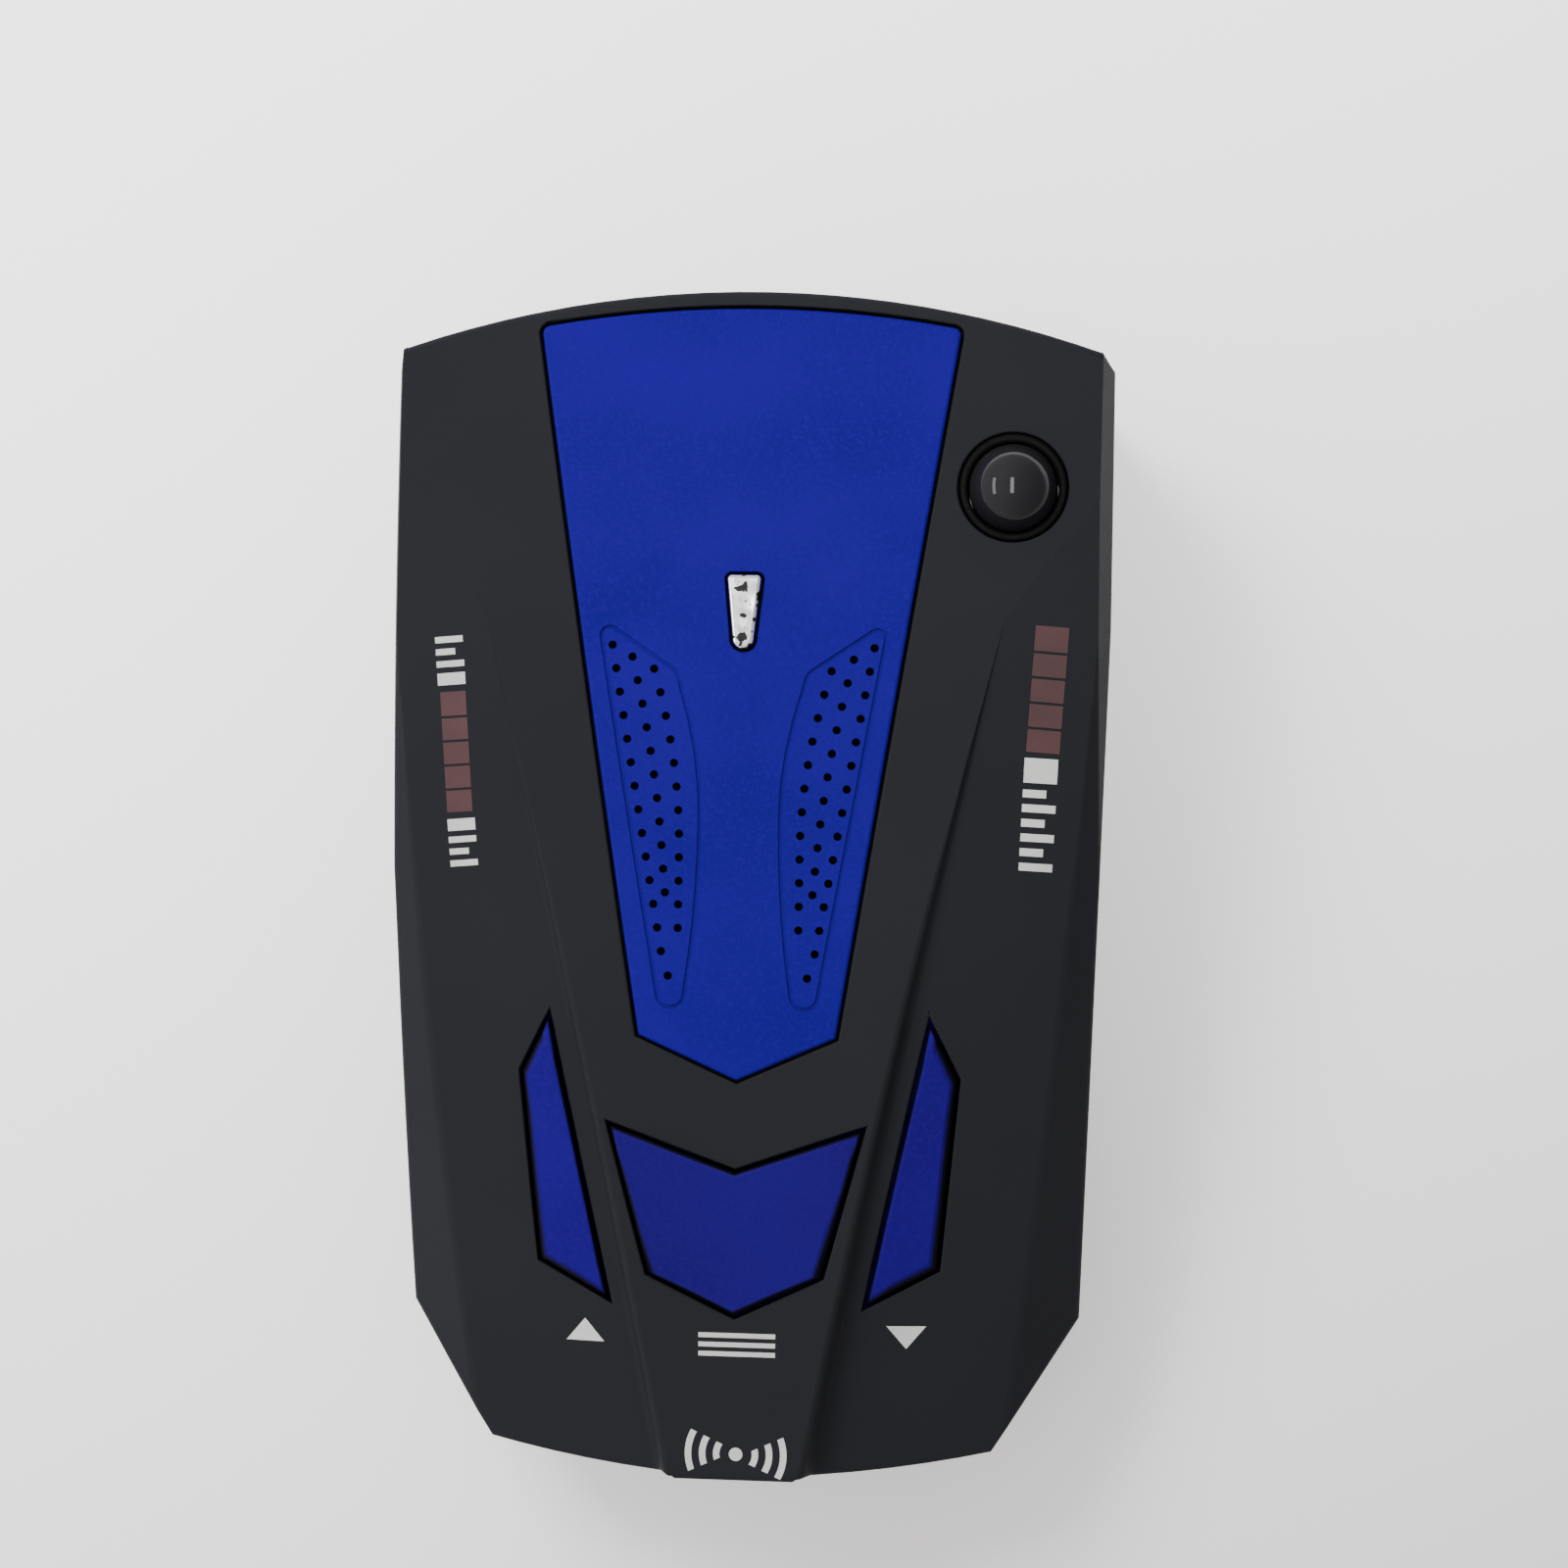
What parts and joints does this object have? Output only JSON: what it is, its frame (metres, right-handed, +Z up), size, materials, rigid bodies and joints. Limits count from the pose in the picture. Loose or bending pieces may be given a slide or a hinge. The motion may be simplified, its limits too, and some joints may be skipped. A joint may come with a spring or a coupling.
{
  "type": "radar detector",
  "caption": "Dashboard radar detector with a crowned split case, inlaid blue panel, speaker holes, push buttons, a sensor dome, rear display and volume wheel.",
  "frame": {"origin": "middle of the case's bounding box, on the base", "axes": "+Y towards the road, +X to the driver's right, +Z up"},
  "size_m": [0.066, 0.1082, 0.0302],
  "materials": {
    "soft_black": "soft-touch matt black paint",
    "base_black": "fine spark texture",
    "blue_panel": "satin blue paint",
    "blue_button": "satin blue paint",
    "violet_button": "satin blue-violet paint",
    "chrome": "bright plated plastic",
    "gauze": "black acoustic gauze",
    "smoked_lens": "smoked acrylic",
    "black_rubber": "satin",
    "sensor_black": "infrared epoxy",
    "circuit_board": "green solder mask",
    "gold_pins": "plated",
    "label": "silver polyester film",
    "screw_steel": "zinc plated",
    "white_nylon": "moulded",
    "component_black": "moulded epoxy",
    "wheel_black": "moulded, serrated rim",
    "carbon_track": "phenolic board",
    "led_segment": "diffusing epoxy",
    "foam": "closed-cell foam",
    "plated_steel": "tin plated",
    "paper_cone": "coated paper",
    "ferrite": "sintered",
    "red_wire": "insulated wire",
    "die_cast": "as cast",
    "capacitor_sleeve": "heat-shrunk sleeve"
  },
  "bodies": {
    "case": {"top_cover": "soft_black", "bottom_cover": "base_black", "centre_panel": "blue_panel", "chrome_insert": "chrome", "grille_mesh": "gauze", "laser_dome": "smoked_lens", "dome_seal": "black_rubber", "dome_sensor": "sensor_black", "sensor_board": "circuit_board", "sensor_header": "gold_pins", "display_window": "smoked_lens", "front_lens": "smoked_lens", "rating_label": "label", "case_screws": "screw_steel", "up_switch": "component_black", "menu_switch": "component_black", "down_switch": "component_black", "wheel_rivet": "screw_steel", "potentiometer": "carbon_track", "power_socket": "component_black", "main_board": "circuit_board", "board_screws": "gold_pins", "display_board": "circuit_board", "display_header": "component_black", "led_display": "component_black", "led_segments": "led_segment", "speaker_gasket": "foam", "speaker_frame": "plated_steel", "speaker_cone": "paper_cone", "speaker_magnet": "ferrite", "speaker_leads": "red_wire", "horn_antenna": "die_cast", "mixer_can": "plated_steel", "laser_sensor": "component_black", "laser_lens": "smoked_lens", "controller_chip": "component_black", "voice_chip": "component_black", "amplifier_chip": "component_black", "crystal": "plated_steel", "capacitors": "capacitor_sleeve", "inductor": "ferrite", "regulator": "component_black"},
    "up_button": {"up_button": "violet_button", "up_plunger": "white_nylon"},
    "menu_button": {"menu_button": "blue_button", "menu_plunger": "white_nylon"},
    "down_button": {"down_button": "violet_button", "down_plunger": "white_nylon"},
    "volume_wheel": {"volume_wheel": "wheel_black"}
  },
  "joints": [
    {"name": "up_press", "type": "slide", "parent": "case", "child": "up_button", "axis": [0, 0, 1], "range_m": [-0.0005, 0], "stiffness_N_per_m": 800, "springref_m": 0.0004},
    {"name": "menu_press", "type": "slide", "parent": "case", "child": "menu_button", "axis": [0, 0, 1], "range_m": [-0.0005, 0], "stiffness_N_per_m": 800, "springref_m": 0.0004},
    {"name": "down_press", "type": "slide", "parent": "case", "child": "down_button", "axis": [0, 0, 1], "range_m": [-0.0005, 0], "stiffness_N_per_m": 800, "springref_m": 0.0004},
    {"name": "volume_turn", "type": "hinge", "parent": "case", "child": "volume_wheel", "pos_m": [-0.02475, -0.005, 0], "axis": [0, 0, 1], "range_deg": [0, 270]}
  ]
}
